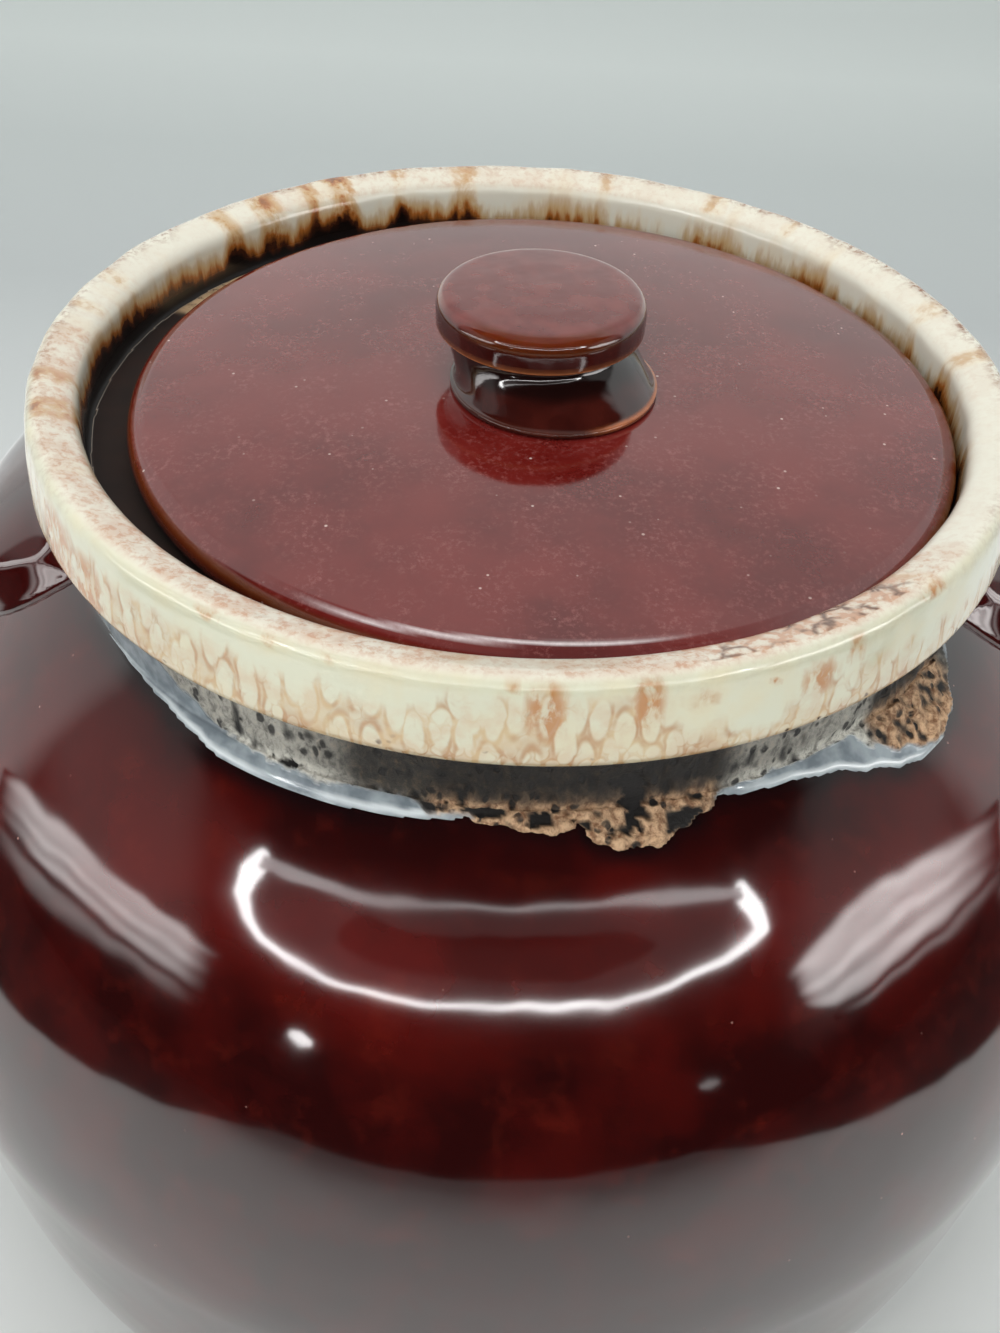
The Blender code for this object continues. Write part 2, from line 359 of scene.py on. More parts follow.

# Where each mark lies round the pot: (degrees, amount) pairs, with -90 at the front. How dark the glaze turns
# down inside the mouth, how brown the top of the rim and its outer edge are, and how high the caramel loops
# climb the collar.
MOUTH_DARKENING = (
    (-180, 0.95), (-150, 0.9), (-125, 0.7), (-100, 0.45), (-20, 0.5), (0, 0.46), (20, 0.40), (42, 0.34),
    (60, 0.32), (75, 0.26), (95, 0.35), (107, 0.58), (112, 0.85), (117, 0.48), (123, 0.75), (130, 0.48),
    (145, 0.55), (160, 0.8), (180, 0.95))
RIM_BROWN = (
    (-180, 0.6), (-160, 0.7), (-140, 0.75), (-120, 0.8), (-104, 0.8), (-90, 0.5), (-80, 0.7), (-70, 0.9),
    (-55, 1.0), (-44, 0.8), (-36, 0.2), (-20, 0.1), (0, 0.2), (30, 0.15), (60, 0.2), (95, 0.4), (125, 0.35),
    (150, 0.1), (180, 0.2))
RIM_FRINGE = (
    (-180, 0.6), (-150, 0.2), (-130, 0.0), (-40, 0.1), (-10, 0.7), (30, 1.0), (50, 1.0), (70, 0.6),
    (90, 0.6), (115, 1.0), (150, 0.8), (180, 0.6))
LACE_TOP = (
    (-180, 0.1765), (-150, 0.1785), (-138, 0.1770), (-125, 0.1765), (-100, 0.1760), (-93, 0.1785),
    (-80, 0.1785), (-73, 0.1735), (-66, 0.1710), (-62, 0.1740), (-56, 0.1755), (-45, 0.1735), (-30, 0.1735),
    (0, 0.1760), (60, 0.1765), (120, 0.1770), (180, 0.1765))
# Caramel bridges across the rim: degrees, half the width in degrees, strength
BRIDGES = (
    (-168, 2.5, 0.8), (-161, 3.0, 1.0), (174, 1.6, 0.5), (166, 2.0, 0.5), (143, 2.2, 0.7), (135, 3.0, 0.8),
    (127, 1.8, 0.6), (122, 3.5, 1.0), (112, 2.0, 0.7), (101, 3.5, 0.6), (78, 1.6, 0.4), (60, 2.5, 0.5),
    (47, 1.5, 0.4), (18, 3.0, 0.4), (5, 2.5, 0.4), (-46, 2.0, 0.5))
# Stains on the outside of the collar: degrees, height, half the width, half the drop, strength
STAINS = (
    (-87, 0.1770, 0.0028, 0.0052, 1.0), (-90, 0.1806, 0.0010, 0.0009, 1.0),
    (-78, 0.1778, 0.0024, 0.0045, 0.9), (-73, 0.1776, 0.0024, 0.0016, 0.5),
    (-137, 0.1722, 0.0055, 0.0055, 1.0), (-144, 0.1730, 0.0065, 0.0065, 1.0),
    (-119, 0.1806, 0.0022, 0.0007, 0.8), (-112, 0.1806, 0.0009, 0.0008, 1.0),
    (-106, 0.1804, 0.0008, 0.0005, 0.7), (-61, 0.1762, 0.0032, 0.0034, 0.8),
    (-57, 0.1785, 0.0018, 0.0026, 0.7), (-66, 0.1780, 0.0008, 0.0004, 1.0),
    (-46, 0.1808, 0.0030, 0.0012, 1.0), (60, 0.1770, 0.0060, 0.0060, 0.8),
    (118, 0.1790, 0.0130, 0.0060, 0.9), (170, 0.1740, 0.0070, 0.0080, 0.7))


def table(pairs, degrees):
    """Amount for a direction, read from (degrees, amount) pairs."""
    for (start, low), (end, high) in zip(pairs, pairs[1:]):
        if start <= degrees <= end:
            return low + (high - low) * ramp(degrees, start, end)
    return pairs[0][1]


def spot(point, degrees, height, width, drop):
    """Soft spot on the collar, from its direction, its height, and half its width and drop in metres."""
    across = math.radians(turn_from(point, degrees)) * COLLAR_RADIUS / width
    down = (point.z - height) / drop
    return max(0.0, 1 - across * across - down * down)


# Where the foam and the smooth roll of glaze past it end, in millimetres past the foot of the neck, and how
# bright a highlight is painted along the top of the roll
FOAM_EDGE = (
    (-180, -3.0), (-150, -4.5), (-138, -6.5), (-130, -5.5), (-126, -3.0), (-122, -0.6), (-118, 0.4),
    (-114, 1.4), (-110, 2.0), (-106, 1.0), (-99, 0.8), (-97, 2.6), (-94, 2.9), (-90, 3.6), (-85, 4.1),
    (-83, 3.6), (-81, 6.2), (-78, 6.9), (-75, 6.6), (-72, 5.2), (-70, 4.0), (-68, 1.6), (-65, 0.8),
    (-60, 0.4), (-55, 0.8), (-51, 1.6), (-49, 4.0), (-46, 7.2), (-42, 9.4), (-39, 9.8), (-36, 8.6),
    (-33, 5.0), (-30, 0.5), (-25, -2.0), (0, -2.5), (28, -1.0), (35, 3.6), (44, 2.4), (60, -1.0), (88, 0.5),
    (95, 4.2), (104, 2.0), (120, -2.0), (146, 0.5), (152, 3.4), (158, 0.5), (180, -3.0))
ROLL_EDGE = (
    (-180, -2.0), (-150, -0.6), (-140, 0.6), (-135, 1.2), (-130, 1.9), (-125, 3.0), (-120, 4.3), (-115, 4.4),
    (-110, 4.2), (-105, 4.2), (-100, 3.8), (-96, 3.2), (-92, 2.0), (-86, 0.6), (-70, 1.2), (-68, 2.0),
    (-65, 2.7), (-60, 3.3), (-55, 4.7), (-50, 7.4), (-46, 9.8), (-43, 10.8), (-40, 10.8), (-36, 9.2),
    (-32, 4.0), (-28, 0.5), (-20, -1.0), (0, -2.0), (30, 2.0), (40, 4.6), (52, 3.4), (75, -1.0), (92, 2.0),
    (100, 4.6), (112, 3.0), (135, -0.5), (150, 3.4), (160, 2.0), (180, -2.0))
ROLL_HIGHLIGHT = (
    (-180, 0.0), (-132, 0.3), (-124, 0.9), (-117, 0.8), (-113, 0.1), (-110, 0.1), (-107, 0.8), (-98, 1.0),
    (-95, 0.2), (-92, 0.0), (-67, 0.2), (-64, 0.5), (-58, 0.9), (-48, 0.9), (-42, 0.3), (-36, 0.0),
    (30, 0.5), (60, 0.0), (95, 0.5), (110, 0.0), (180, 0.0))
# How much longer the shoulder's slope is than its reach outwards
SHOULDER_SLANT = 1.35


def past_neck(point):
    """How far a point is past the foot of the neck, in millimetres along the surface."""
    beyond = math.hypot(point.x, point.y) - NECK_RADIUS
    return 1000 * (beyond * SHOULDER_SLANT if beyond > 0.0004 else NECK_FOOT - point.z)


# The share of the cream glaze's way to the ledge that lies on top of the rim, where a patch of froth lies on
# the ledge, in degrees, and how far down the shoulder its shading goes
TOP_DEPTH = 0.45
FROTH_AT = 149
SHOULDER_FOOT = 0.130


def glaze_marks(point):
    """The amounts of each glaze and mark at a point of the pot."""
    radius = math.hypot(point.x, point.y)
    degrees = heading(point)
    marks = dict.fromkeys(("cream", "lace", "stain", "burn", "depth", "brown", "bridge", "fringe", "shade",
                           "froth", "bare", "inside"), 0.0)
    if point.z > LEDGE_HEIGHT - 0.004 and radius > MOUTH_RADIUS - 0.0006 or point.z > RIM_HEIGHT - 0.004:
        marks["cream"] = ramp(point.z, COLLAR_FOOT - 0.0016, COLLAR_FOOT - 0.0004)
        if radius > NECK_RADIUS + 0.0007:
            edge = table(LACE_TOP, degrees) + 0.0020 * wander(Vector((point.x, point.y, 0)), 0.0026, 3)
            marks["stain"] = max(strength * spot(point, *where) for *where, strength in STAINS)
            marks["lace"] = max(1 - ramp(point.z, edge - 0.0010, edge + 0.0014), marks["stain"])
        marks["burn"] = table(MOUTH_DARKENING, degrees)
        marks["brown"] = table(RIM_BROWN, degrees)
        on_top = ramp(point.z, RIM_HEIGHT - 0.0045, RIM_HEIGHT - 0.0020)
        bridge = max(strength * (1 - min(abs(turn_from(point, middle)) / wide, 1.0) ** 2)
                     for middle, wide, strength in BRIDGES)
        uneven = radius + 0.0012 * wander(point, 0.004, 9)
        fringe = ramp(uneven, COLLAR_RADIUS - 0.0032, COLLAR_RADIUS - 0.0010)
        marks["fringe"] = table(RIM_FRINGE, degrees) * fringe * on_top
        if radius > MOUTH_RADIUS + 0.0006:
            marks["bridge"] = bridge * on_top
            marks["depth"] = TOP_DEPTH * on_top * ramp(radius, COLLAR_RADIUS + 0.0012, MOUTH_RADIUS - 0.0001)
        else:
            marks["bridge"] = bridge * 0.6
            fallen = (RIM_HEIGHT - RIM_DROP - point.z) / (RIM_HEIGHT - RIM_DROP - LEDGE_HEIGHT)
            marks["depth"] = TOP_DEPTH + (1 - TOP_DEPTH) * fallen
    elif radius < MOUTH_RADIUS and point.z > 2 * FOOT_HEIGHT:
        marks["inside"] = 1.0
        if point.z > LEDGE_HEIGHT - 0.002:
            marks["froth"] = ramp(abs(turn_from(point, FROTH_AT)) + 3 * wander(point, 0.006, 8), 9.0, 7.0)
    elif point.z > SHOULDER_FOOT:
        beyond = past_neck(point) - max(table(FOAM_EDGE, degrees), table(ROLL_EDGE, degrees))
        marks["shade"] = ramp(beyond, 3.0 + 1.2 * wander(point, 0.012, 21), 0.0)
    elif point.z < FOOT_HEIGHT + 0.002:
        marks["bare"] = 1 - ramp(point.z, FOOT_HEIGHT - 0.0004, FOOT_HEIGHT + 0.0006)
    return marks


def paint(piece, rows):
    """Stores the amounts in each vertex's row, kept from 0 to 1, for the glaze to read by name."""
    for name in rows[0]:
        layer = piece.data.attributes.new(name, "FLOAT", "POINT")
        layer.data.foreach_set("value", [min(max(row[name], 0.0), 1.0) for row in rows])


paint(pot, [glaze_marks(vertex.co) for vertex in pot.data.vertices])

pot_glaze, shader, spot_on = fired("pot_oxblood_and_cream")
across, toward, height = [spot_on.part(axis) for axis in range(3)]
# The oxblood is painted darker in cloudy patches, towards the neck, and over all the body below a band of the
# shoulder.
dark_share = (1 - spot_on.clouds(0.02, 4).over(0.32, 0.66)) * 0.55 + height.over(0.142, 0.160) * 0.75
dark_share = dark_share + (1 - height.over(SHOULDER_FOOT, 0.142)) * 0.6
body_colour = dark_share.clamp().mix(OXBLOOD, OXBLOOD_DARK)
body_colour = (spot_on.clouds(0.006, 5).over(0.52, 0.72) * 0.15).mix(body_colour, OXBLOOD_THIN)
dust = spot_on.cells(0.0050).over(0.050, 0.025) * spot_on.clouds(0.012).over(0.48, 0.60)
body_colour = (dust * 0.7).mix(body_colour, tone(170, 130, 120))
# A dark band painted round the foam and its roll: partly the glaze's own dark edge, partly painted shade and a
# painted reflection of the collar's dark side.
body_colour = (spot_on.read("shade") * 0.9).mix(body_colour, tone(12, 7, 9))


def unrolled(across, toward, height):
    """Flat picture of the collar: metres round it, from where toward is lowest, and metres up."""
    metres_round = across.maths("ARCTAN2", across, 0 - toward) * COLLAR_RADIUS
    return metres_round.node("CombineXYZ", {}, {0: metres_round, 1: height})


def loops_on(place):
    """The gaps between the fingers that the cream glaze ran down in, and between smaller curls."""
    place = place.bent(0.005, 0.0008)
    fingers = place.stretched(1, 0.38, 1).cells(0.0025, "F1", "2D")
    curls = place.bent(0.002, 0.0004).stretched(1, 0.7, 1).cells(0.0016, "F1", "2D")
    return (fingers.over(0.40, 0.54) * (1 - fingers.over(0.56, 0.72) * 0.55),
            curls.over(0.42, 0.56) * (1 - curls.over(0.58, 0.7) * 0.5))


# The two flat pictures meet behind the pot, where one fades into the other
behind = toward.over(0.050, 0.062)
front_loops = loops_on(unrolled(across, toward, height))
back_loops = loops_on(unrolled(0 - across, 0 - toward, height))
fingers, curls = [behind * back + (1 - behind) * front for front, back in zip(front_loops, back_loops)]
low_edge = 1 - height.over(COLLAR_FOOT + 0.0002, COLLAR_FOOT + 0.0042)
loop_break = spot_on.clouds(0.0035, 3).over(0.30, 0.55)
lace_zone = spot_on.read("lace")
curl_share = low_edge * 0.5 + (1 - loop_break) * 0.4
lace = (fingers * (loop_break * 0.65 + 0.30) + curls * curl_share).clamp() * lace_zone
soak = (lace_zone * (spot_on.clouds(0.0032, 4).over(0.38, 0.68) * 0.85 + low_edge * 0.45 + 0.12)).clamp()
cream_colour = spot_on.clouds(0.009, 4).over(0.4, 0.7).mix(IVORY, CREAM)
cream_colour = (soak * 0.75).mix(cream_colour, BLUSH)
cream_colour = (lace * 0.8).mix(cream_colour, spot_on.clouds(0.004, 2).over(0.38, 0.62).mix(CARAMEL, TAN))
stain_runs = spot_on.bent(0.003, 0.0010).stretched(1, 1, 0.4).clouds(0.0016, 4).over(0.40, 0.60)
stain = (spot_on.read("stain") * (stain_runs * 1.3 + 0.12)).clamp()
cream_colour = (stain * 0.9).mix(cream_colour, tone(178, 116, 56))
cream, bare, inside = spot_on.read("cream"), spot_on.read("bare"), spot_on.read("inside")
pit_zone = (low_edge + spot_on.read("stain") * 0.3).clamp()
pits = spot_on.bent(0.003, 0.0008).cells(0.0022).over(0.26, 0.10) * pit_zone
pits = pits * spot_on.clouds(0.004).over(0.52, 0.62) * cream * lace_zone
cream_colour = pits.mix(cream_colour, BURNT)

# Over the rim and down inside it the streaks run towards the lid, and darken on the way
STREAK_RADIUS = 0.073
flat_place = spot_on.stretched(1, 1, 0)
reach_out = flat_place.place("LENGTH", {}, 1)
streak_place = flat_place.place("NORMALIZE", {}).place("SCALE", {"Scale": STREAK_RADIUS})
lift = streak_place.node("CombineXYZ", {}, {2: (height - reach_out) * 0.22})
streak_place = streak_place.place("ADD", {1: lift})
streaks = streak_place.bent(0.004, 0.0006).clouds(0.0017, 3, 0.55)
wide_streaks = streak_place.clouds(0.0085, 2)
depth = spot_on.read("depth")
ledge_line = depth.over(0.84, 0.97) * 0.30
inward = depth.over(0.36, 0.94)
pools = spot_on.bent(0.004, 0.001).stretched(1, 1, 0.6).clouds(0.0038, 4, 0.6).over(0.36, 0.64)
dark_run = depth * inward * (spot_on.read("burn") * 1.2 + 0.10)
dark_run = dark_run + (wide_streaks - 0.48) * (depth * 1.2 + 0.40)
dark_run = dark_run + (streaks - 0.5) * inward * 0.8 + ledge_line - 0.07
dark_run = (dark_run + spot_on.read("bridge") * (pools * 0.50 + 0.30)).clamp()
run_colour = dark_run.node("ValToRGB", {"stops": [
    (0.0, tone(224, 220, 204)), (0.12, tone(222, 212, 190)), (0.22, BLUSH), (0.34, TAN), (0.48, AMBER),
    (0.66, BURNT), (0.88, BLACK_BROWN)]}, {"Fac": dark_run})
cream_colour = depth.over(0.02, 0.12).mix(cream_colour, run_colour)
rim_cells = 1 - spot_on.bent(0.0025, 0.0010).cells(0.0028, "DISTANCE_TO_EDGE").over(0.0, 0.22)
mottle = spot_on.bent(0.002, 0.0006).clouds(0.0012, 4, 0.65).over(0.44, 0.64)
rim_top = depth.over(0.03, 0.16) * (1 - depth.over(0.44, 0.52))
brown = spot_on.read("brown") * rim_top
curly = brown.over(0.76, 0.94)
brown_marks = mottle * 0.6 + pools * 0.55 + curly * rim_cells * 0.6 + 0.20
cream_colour = (brown * brown_marks).clamp().mix(cream_colour, tone(196, 154, 126))
burnt_threads = curly * rim_cells * spot_on.clouds(0.004).over(0.46, 0.60) * 0.85
cream_colour = burnt_threads.clamp().mix(cream_colour, BURNT)
fringe = spot_on.read("fringe") * (mottle * 0.8 + pools * 0.5)
cream_colour = fringe.clamp().mix(cream_colour, tone(136, 90, 62))

colour = cream.mix(body_colour, cream_colour)
# The inside below the ledge is painted near black: its dark glaze, with painted shade from the narrow gap under
# the lid.
dark_inside = spot_on.clouds(0.006, 4).mix(tone(12, 12, 11), tone(48, 26, 18))
froth_grain = spot_on.bent(0.002, 0.0005).clouds(0.0016, 4).over(0.30, 0.46)
ledge_froth = (spot_on.read("froth") * froth_grain).clamp()
dark_inside = ledge_froth.mix(dark_inside, streaks.mix(tone(120, 92, 62), tone(214, 184, 146)))
colour = inside.mix(colour, dark_inside)
colour = bare.mix(colour, spot_on.clouds(0.0012, 4).mix(BUFF_CLAY, tone(160, 132, 100)))
roughness = cream * 0.10 + bare * 0.6 + spot_on.clouds(0.015) * 0.05 + ledge_froth * 0.5
roughness = roughness + inside * 0.75 + depth.over(0.80, 0.98) * 0.5 + 0.045
waves = spot_on.clouds(0.022, 2) * 0.8 + spot_on.clouds(0.002, 2) * cream * 0.10 - lace * 0.10 - pits * 0.4
finish(shader, {"Base Color": colour, "Roughness": roughness, "Normal": waves.relief(0.35, 0.0006)})
pot.data.materials.append(pot_glaze)
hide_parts("pot_body")
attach(pot, "pot")


# Under the collar the two glazes boiled where they met and set as a rough foam on the neck:
# a mossy crust up the neck, painted dark there as painted shade under the collar, pale froth and
# lobes of tan froth on the shoulder, and a smooth bluish roll of glaze along its edge.
FOAM_STEPS = 960
FOAM_REACH = 0.0846
# Lobes of tan froth: degrees, half the width in degrees
FOAM_LOBES = ((-83.0, 15.5), (-41.0, 8.5), (38, 10), (96, 10), (152, 7))
# Dark notches in it: degrees, half the width in degrees, start and end in millimetres past the neck
FOAM_NOTCHES = (
    (-77.6, 1.2, -6, 5.0), (-82.3, 1.0, 2.4, 5.0), (-72.2, 2.2, 2.4, 5.6), (-86.5, 1.6, 1.2, 3.4),
    (-112.6, 0.9, -0.4, 2.2), (-97.5, 1.2, 1.2, 3.4), (-92.0, 1.8, 0.6, 2.4))
# How pale the froth is round the pot: (degrees, amount) pairs
FOAM_PALE = (
    (-180, 0.3), (-140, 0.9), (-113, 1.0), (-108, 0.75), (-104, 0.12), (-86, 0.05), (-69, 0.1), (-65, 0.8),
    (-48, 1.0), (-44, 0.3), (-30, 0.2), (0, 0.2), (50, 0.6), (90, 0.2), (120, 0.6), (180, 0.3))
ROLL_THICK = 0.50
ROLL_ROUND = 1.8
foam_line = evenly([(NECK_RADIUS, COLLAR_FOOT - 0.0025), neck_foot] + shoulder[1:12], 0.00040)
foam_line = [point for point in foam_line if point[0] < FOAM_REACH]
foam = turned("neck_foam", foam_line, FOAM_STEPS)
if foam.data.polygons[0].normal.dot(foam.data.polygons[0].center) < 0:
    foam.data.flip_normals()
foam_rows = []
for vertex in foam.data.vertices:
    point = vertex.co.copy()
    out = Vector((point.x, point.y, 0)).normalized()
    run = past_neck(point)
    degrees = heading(point)
    fine = wander(point, 0.0018, 7)
    ragged = 0.7 * wander(point, 0.0040, 2) + 0.6 * fine + 0.4 * wander(point, 0.0009, 6)
    foam_edge = table(FOAM_EDGE, degrees) + ragged
    roll_edge = table(ROLL_EDGE, degrees) + 0.2 * wander(point, 0.012, 4)
    within = ramp(foam_edge - run, -0.3, 0.5)
    round_off = 1 - min(max((roll_edge - run) / ROLL_ROUND, 0.0), 1.0)
    roll = ROLL_THICK * math.sqrt(1 - round_off * round_off) if roll_edge > run else -0.3
    combed = Vector((point.x, point.y, point.z * 0.45))
    lumps = 0.5 + 0.6 * wander(combed, 0.0026, 11) + 0.5 * wander(combed, 0.0012, 13)
    for middle, wide, start, end in FOAM_NOTCHES:
        across = turn_from(point, middle + fine * 1.2) / wide
        along = (2 * run - start - end) / (end - start) + 0.3 * wander(point, 0.0009, 17)
        lumps -= 1.6 * ramp(across * across + abs(along) ** 3, 1.1, 0.5)
    lobe = max(ramp(abs(turn_from(point, middle)), wide, wide - 2.5) for middle, wide in FOAM_LOBES)
    froth = 0.15 + (0.75 + 0.6 * lobe) * max(lumps, 0.0)
    thick = max(within * froth - (1 - within) * 0.3, roll)
    lean = ramp(run, 0.0, 1.5)
    vertex.co = point + (out * (1 - 0.45 * lean) + Vector((0, 0, 0.85 * lean))).normalized() * thick * 0.001
    past_crest = (roll_edge - run - 0.7 - 0.2 * fine) / 0.7
    foam_rows.append({
        # Tan froth fades out up the neck under the collar: painted shade.
        "tan": lobe * ramp(run + 1.2 * fine, -4.0, 1.2),
        "pale": table(FOAM_PALE, degrees) * (1 - lobe),
        "hollow": (1 - ramp(lumps, 0.02, 0.36)) * within,
        "roll": 1 - within if roll_edge > run - 0.4 else 0.0,
        # Out of the collar's painted shade: 0 up the neck, 1 on the shoulder.
        "low": ramp(run, -2.5, 0.8),
        "shine": table(ROLL_HIGHLIGHT, degrees) * max(0.0, 1 - past_crest * past_crest)})
paint(foam, foam_rows)
foam_finish, shader, spot_on = fired("boiled_glaze_foam", 1.6)
combed = spot_on.bent(0.002, 0.0006).stretched(1, 1, 0.6)
grain = combed.clouds(0.0011, 5, 0.72)
holes = combed.cells(0.0018).over(0.36, 0.20) * spot_on.clouds(0.003).over(0.36, 0.50)
roll = spot_on.read("roll")
hollow = (spot_on.read("hollow") + holes * 0.9).clamp() * (1 - roll)
low = spot_on.read("low")
crust = grain.node("ValToRGB", {"stops": [
    (0.0, tone(12, 8, 5)), (0.42, tone(30, 21, 12)), (0.56, tone(62, 46, 28)), (0.70, tone(122, 96, 64))]},
    {"Fac": grain})
pale_froth = grain.over(0.32, 0.58).mix(tone(150, 146, 136), tone(226, 223, 212))
tan_froth = grain.over(0.32, 0.64).mix(tone(124, 82, 50), tone(216, 178, 140))
pale = spot_on.read("pale")
# Up the neck the pale froth is painted half as pale and the rest nearly black: painted shade under the collar.
foam_colour = (pale * (low * 0.5 + 0.5)).mix(crust, pale_froth)
foam_colour = spot_on.read("tan").mix(foam_colour, tan_froth)
foam_colour = ((1 - low) * (1 - pale) * 0.75).mix(foam_colour, tone(13, 10, 6))
foam_colour = hollow.mix(foam_colour, tone(14, 10, 8))
roll_colour = spot_on.clouds(0.0040, 3).over(0.34, 0.66).mix(tone(118, 127, 134), tone(160, 169, 174))
# A near-white stripe painted along the top of the roll: a painted highlight.
roll_colour = spot_on.read("shine").mix(roll_colour, tone(212, 218, 220))
foam_colour = roll.mix(foam_colour, roll_colour)
finish(shader, {"Base Color": foam_colour, "Roughness": (1 - roll) * 0.65 + 0.10,
                "Normal": ((grain - hollow * 0.8) * (1 - roll)).relief(0.8, 0.0007)})
foam.data.materials.append(foam_finish)
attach(foam, "pot")


# The handles are two solid lugs of the same clay, pressed out flat, luted to the neck and shoulder
# with slip and dipped with the pot. Each droops a little and flares where it meets the wall.
LUG_MIDDLE = NECK_RADIUS - WALL
LUG_REACH = 0.0945
LUG_DROOP = math.radians(30)
LUG_HALVES = ((LUG_REACH - LUG_MIDDLE) / math.cos(LUG_DROOP), 0.030, 0.0105)
LUG_FULLNESS = 2.6
LUG_HEIGHT = RIM_HEIGHT - 0.029 + WALL * math.tan(LUG_DROOP)
LUG_SINK = 0.0015
SLIP_REACH = 0.006
SLIP_THICK = 0.0022
wall_line = sorted([(height, radius) for radius, height in [(NECK_RADIUS, RIM_HEIGHT)] + shoulder])


def proud(point):
    """How far a point stands out from the neck or shoulder at its height."""
    wall = BELLY_RADIUS
    for (low, near), (high, far) in zip(wall_line, wall_line[1:]):
        if low <= point.z <= high:
            wall = near + (far - near) * (point.z - low) / max(high - low, 0.000001)
    return math.hypot(point.x, point.y) - wall


lug_glaze, shader, spot_on = fired("lug_oxblood")
lug_colour = (spot_on.clouds(0.02, 4).over(0.3, 0.7) * 0.5).mix(OXBLOOD_DARK, OXBLOOD)
finish(shader, {"Base Color": lug_colour, "Roughness": spot_on.clouds(0.01) * 0.05 + 0.05,
                "Normal": spot_on.clouds(0.014, 2).relief(0.3, 0.0006)})
for name, degrees in (("handle_right", 1), ("handle_left", 181)):
    shape = bmesh.new()
    bmesh.ops.create_uvsphere(shape, u_segments=160, v_segments=96, radius=1.0)
    for vertex in shape.verts:
        vertex.co /= sum(abs(part) ** LUG_FULLNESS for part in vertex.co) ** (1 / LUG_FULLNESS)
    bmesh.ops.scale(shape, vec=LUG_HALVES, verts=shape.verts)
    droop = Matrix.Translation((LUG_MIDDLE, 0, LUG_HEIGHT)) @ Matrix.Rotation(LUG_DROOP, 4, "Y")
    settle = Matrix.Rotation(math.radians(degrees), 4, "Z") @ droop
    bmesh.ops.transform(shape, matrix=settle, verts=shape.verts)
    shape.normal_update()
    for vertex in shape.verts:
        near = 1 - min(max(proud(vertex.co) / SLIP_REACH, 0.0), 1.0)
        vertex.co += vertex.normal * SLIP_THICK * near * near
        sunk = proud(vertex.co) + LUG_SINK
        if sunk < 0:
            vertex.co -= Vector((vertex.co.x, vertex.co.y, 0)).normalized() * sunk
    bmesh.ops.recalc_face_normals(shape, faces=shape.faces)
    lug = piece_from(name + "_lug", shape)
    lug.data.materials.append(lug_glaze)
    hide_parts(name)
    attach(lug, "pot")


# The lid is a thin turned disc, slightly domed, that lies loose on the ledge a little off centre.
# Its glaze is wiped from the seat underneath, and thins to orange brown on the round edge.
LID_RADIUS = 0.065
LID_EDGE = 0.0055
LID_CROWN = 0.0026
LID_MIDDLE = (0.0030, -0.0023, LEDGE_HEIGHT + 0.0003)
LID_PAD = 0.019
LID_HOLLOW = LID_RADIUS - 0.0085
LID_THICK = 0.006
LID_CREST = 0.0617
LID_STEPS = 320
DOME_STEPS = 90
HOLLOW_STEPS = 16
lid_shoulder = LID_RADIUS - LID_EDGE / 2


def lid_height(radius):
    """Height of the domed top above the seat."""
    span = max(radius - LID_PAD, 0.0) / (LID_RADIUS - LID_PAD)
    return LID_EDGE + LID_CROWN * (1 - span ** 2)


lid_top = [(0.0, lid_height(0))]
for step in range(DOME_STEPS + 1):
    radius = LID_PAD + (lid_shoulder - LID_PAD) * step / DOME_STEPS
    lid_top.append((radius, lid_height(radius)))
lid_edge = [(lid_shoulder + LID_EDGE / 2 * math.cos(angle), LID_EDGE / 2 * (1 + math.sin(angle)))
            for angle in [math.radians(78 - 168 * step / 20) for step in range(21)]]
lid_under = []
for step in range(HOLLOW_STEPS + 1):
    share = step / HOLLOW_STEPS
    lid_under.append((LID_HOLLOW * (1 - share), (lid_height(0) - LID_THICK) * math.sin(share * math.pi / 2)))
lid = turned("lid_plate", lid_top + lid_edge + lid_under, LID_STEPS, LID_MIDDLE)


def lid_marks(point):
    """Where the edge's glaze is thin, where a painted highlight runs along its front edge, and where the seat
    is wiped bare.
    """
    reach = math.hypot(point.x - LID_MIDDLE[0], point.y - LID_MIDDLE[1])
    height = point.z - LID_MIDDLE[2]
    crest = LID_CREST + 0.0012 * ramp(turn_from(point, -84), 0, -30)
    in_front = ramp(abs(turn_from(point, -93)), 25, 12)
    return {"thin": ramp(reach, LID_RADIUS - 0.0012, LID_RADIUS - 0.0004) * ramp(height, 0.0016, 0.0046),
            "crest": ramp(abs(reach - crest), 0.0005, 0.0001) * ramp(height, 0.003, 0.004) * in_front,
            "seat": ramp(height, 0.0005, 0.0001) * ramp(reach, LID_HOLLOW - 0.0010, LID_HOLLOW + 0.0003)}


paint(lid, [lid_marks(vertex.co) for vertex in lid.data.vertices])
lid_glaze, shader, spot_on = fired("lid_oxblood", 1.74)
mist = spot_on.clouds(0.03, 5, 0.6)
fine = spot_on.clouds(0.0009, 4, 0.75)
lid_colour = mist.over(0.32, 0.66).mix(tone(84, 13, 10), tone(108, 32, 28))
specks = fine.over(0.48, 0.70) * spot_on.clouds(0.008, 3).over(0.35, 0.62) * 0.5
lid_colour = specks.mix(lid_colour, tone(146, 84, 80))
pale_speck = spot_on.cells(0.0032).over(0.09, 0.04) * spot_on.clouds(0.008).over(0.45, 0.6)
lid_colour = pale_speck.mix(lid_colour, tone(196, 168, 160))
lid_colour = (spot_on.read("thin") * (0.45 + 0.8 * fine)).clamp().mix(lid_colour, tone(104, 50, 22))
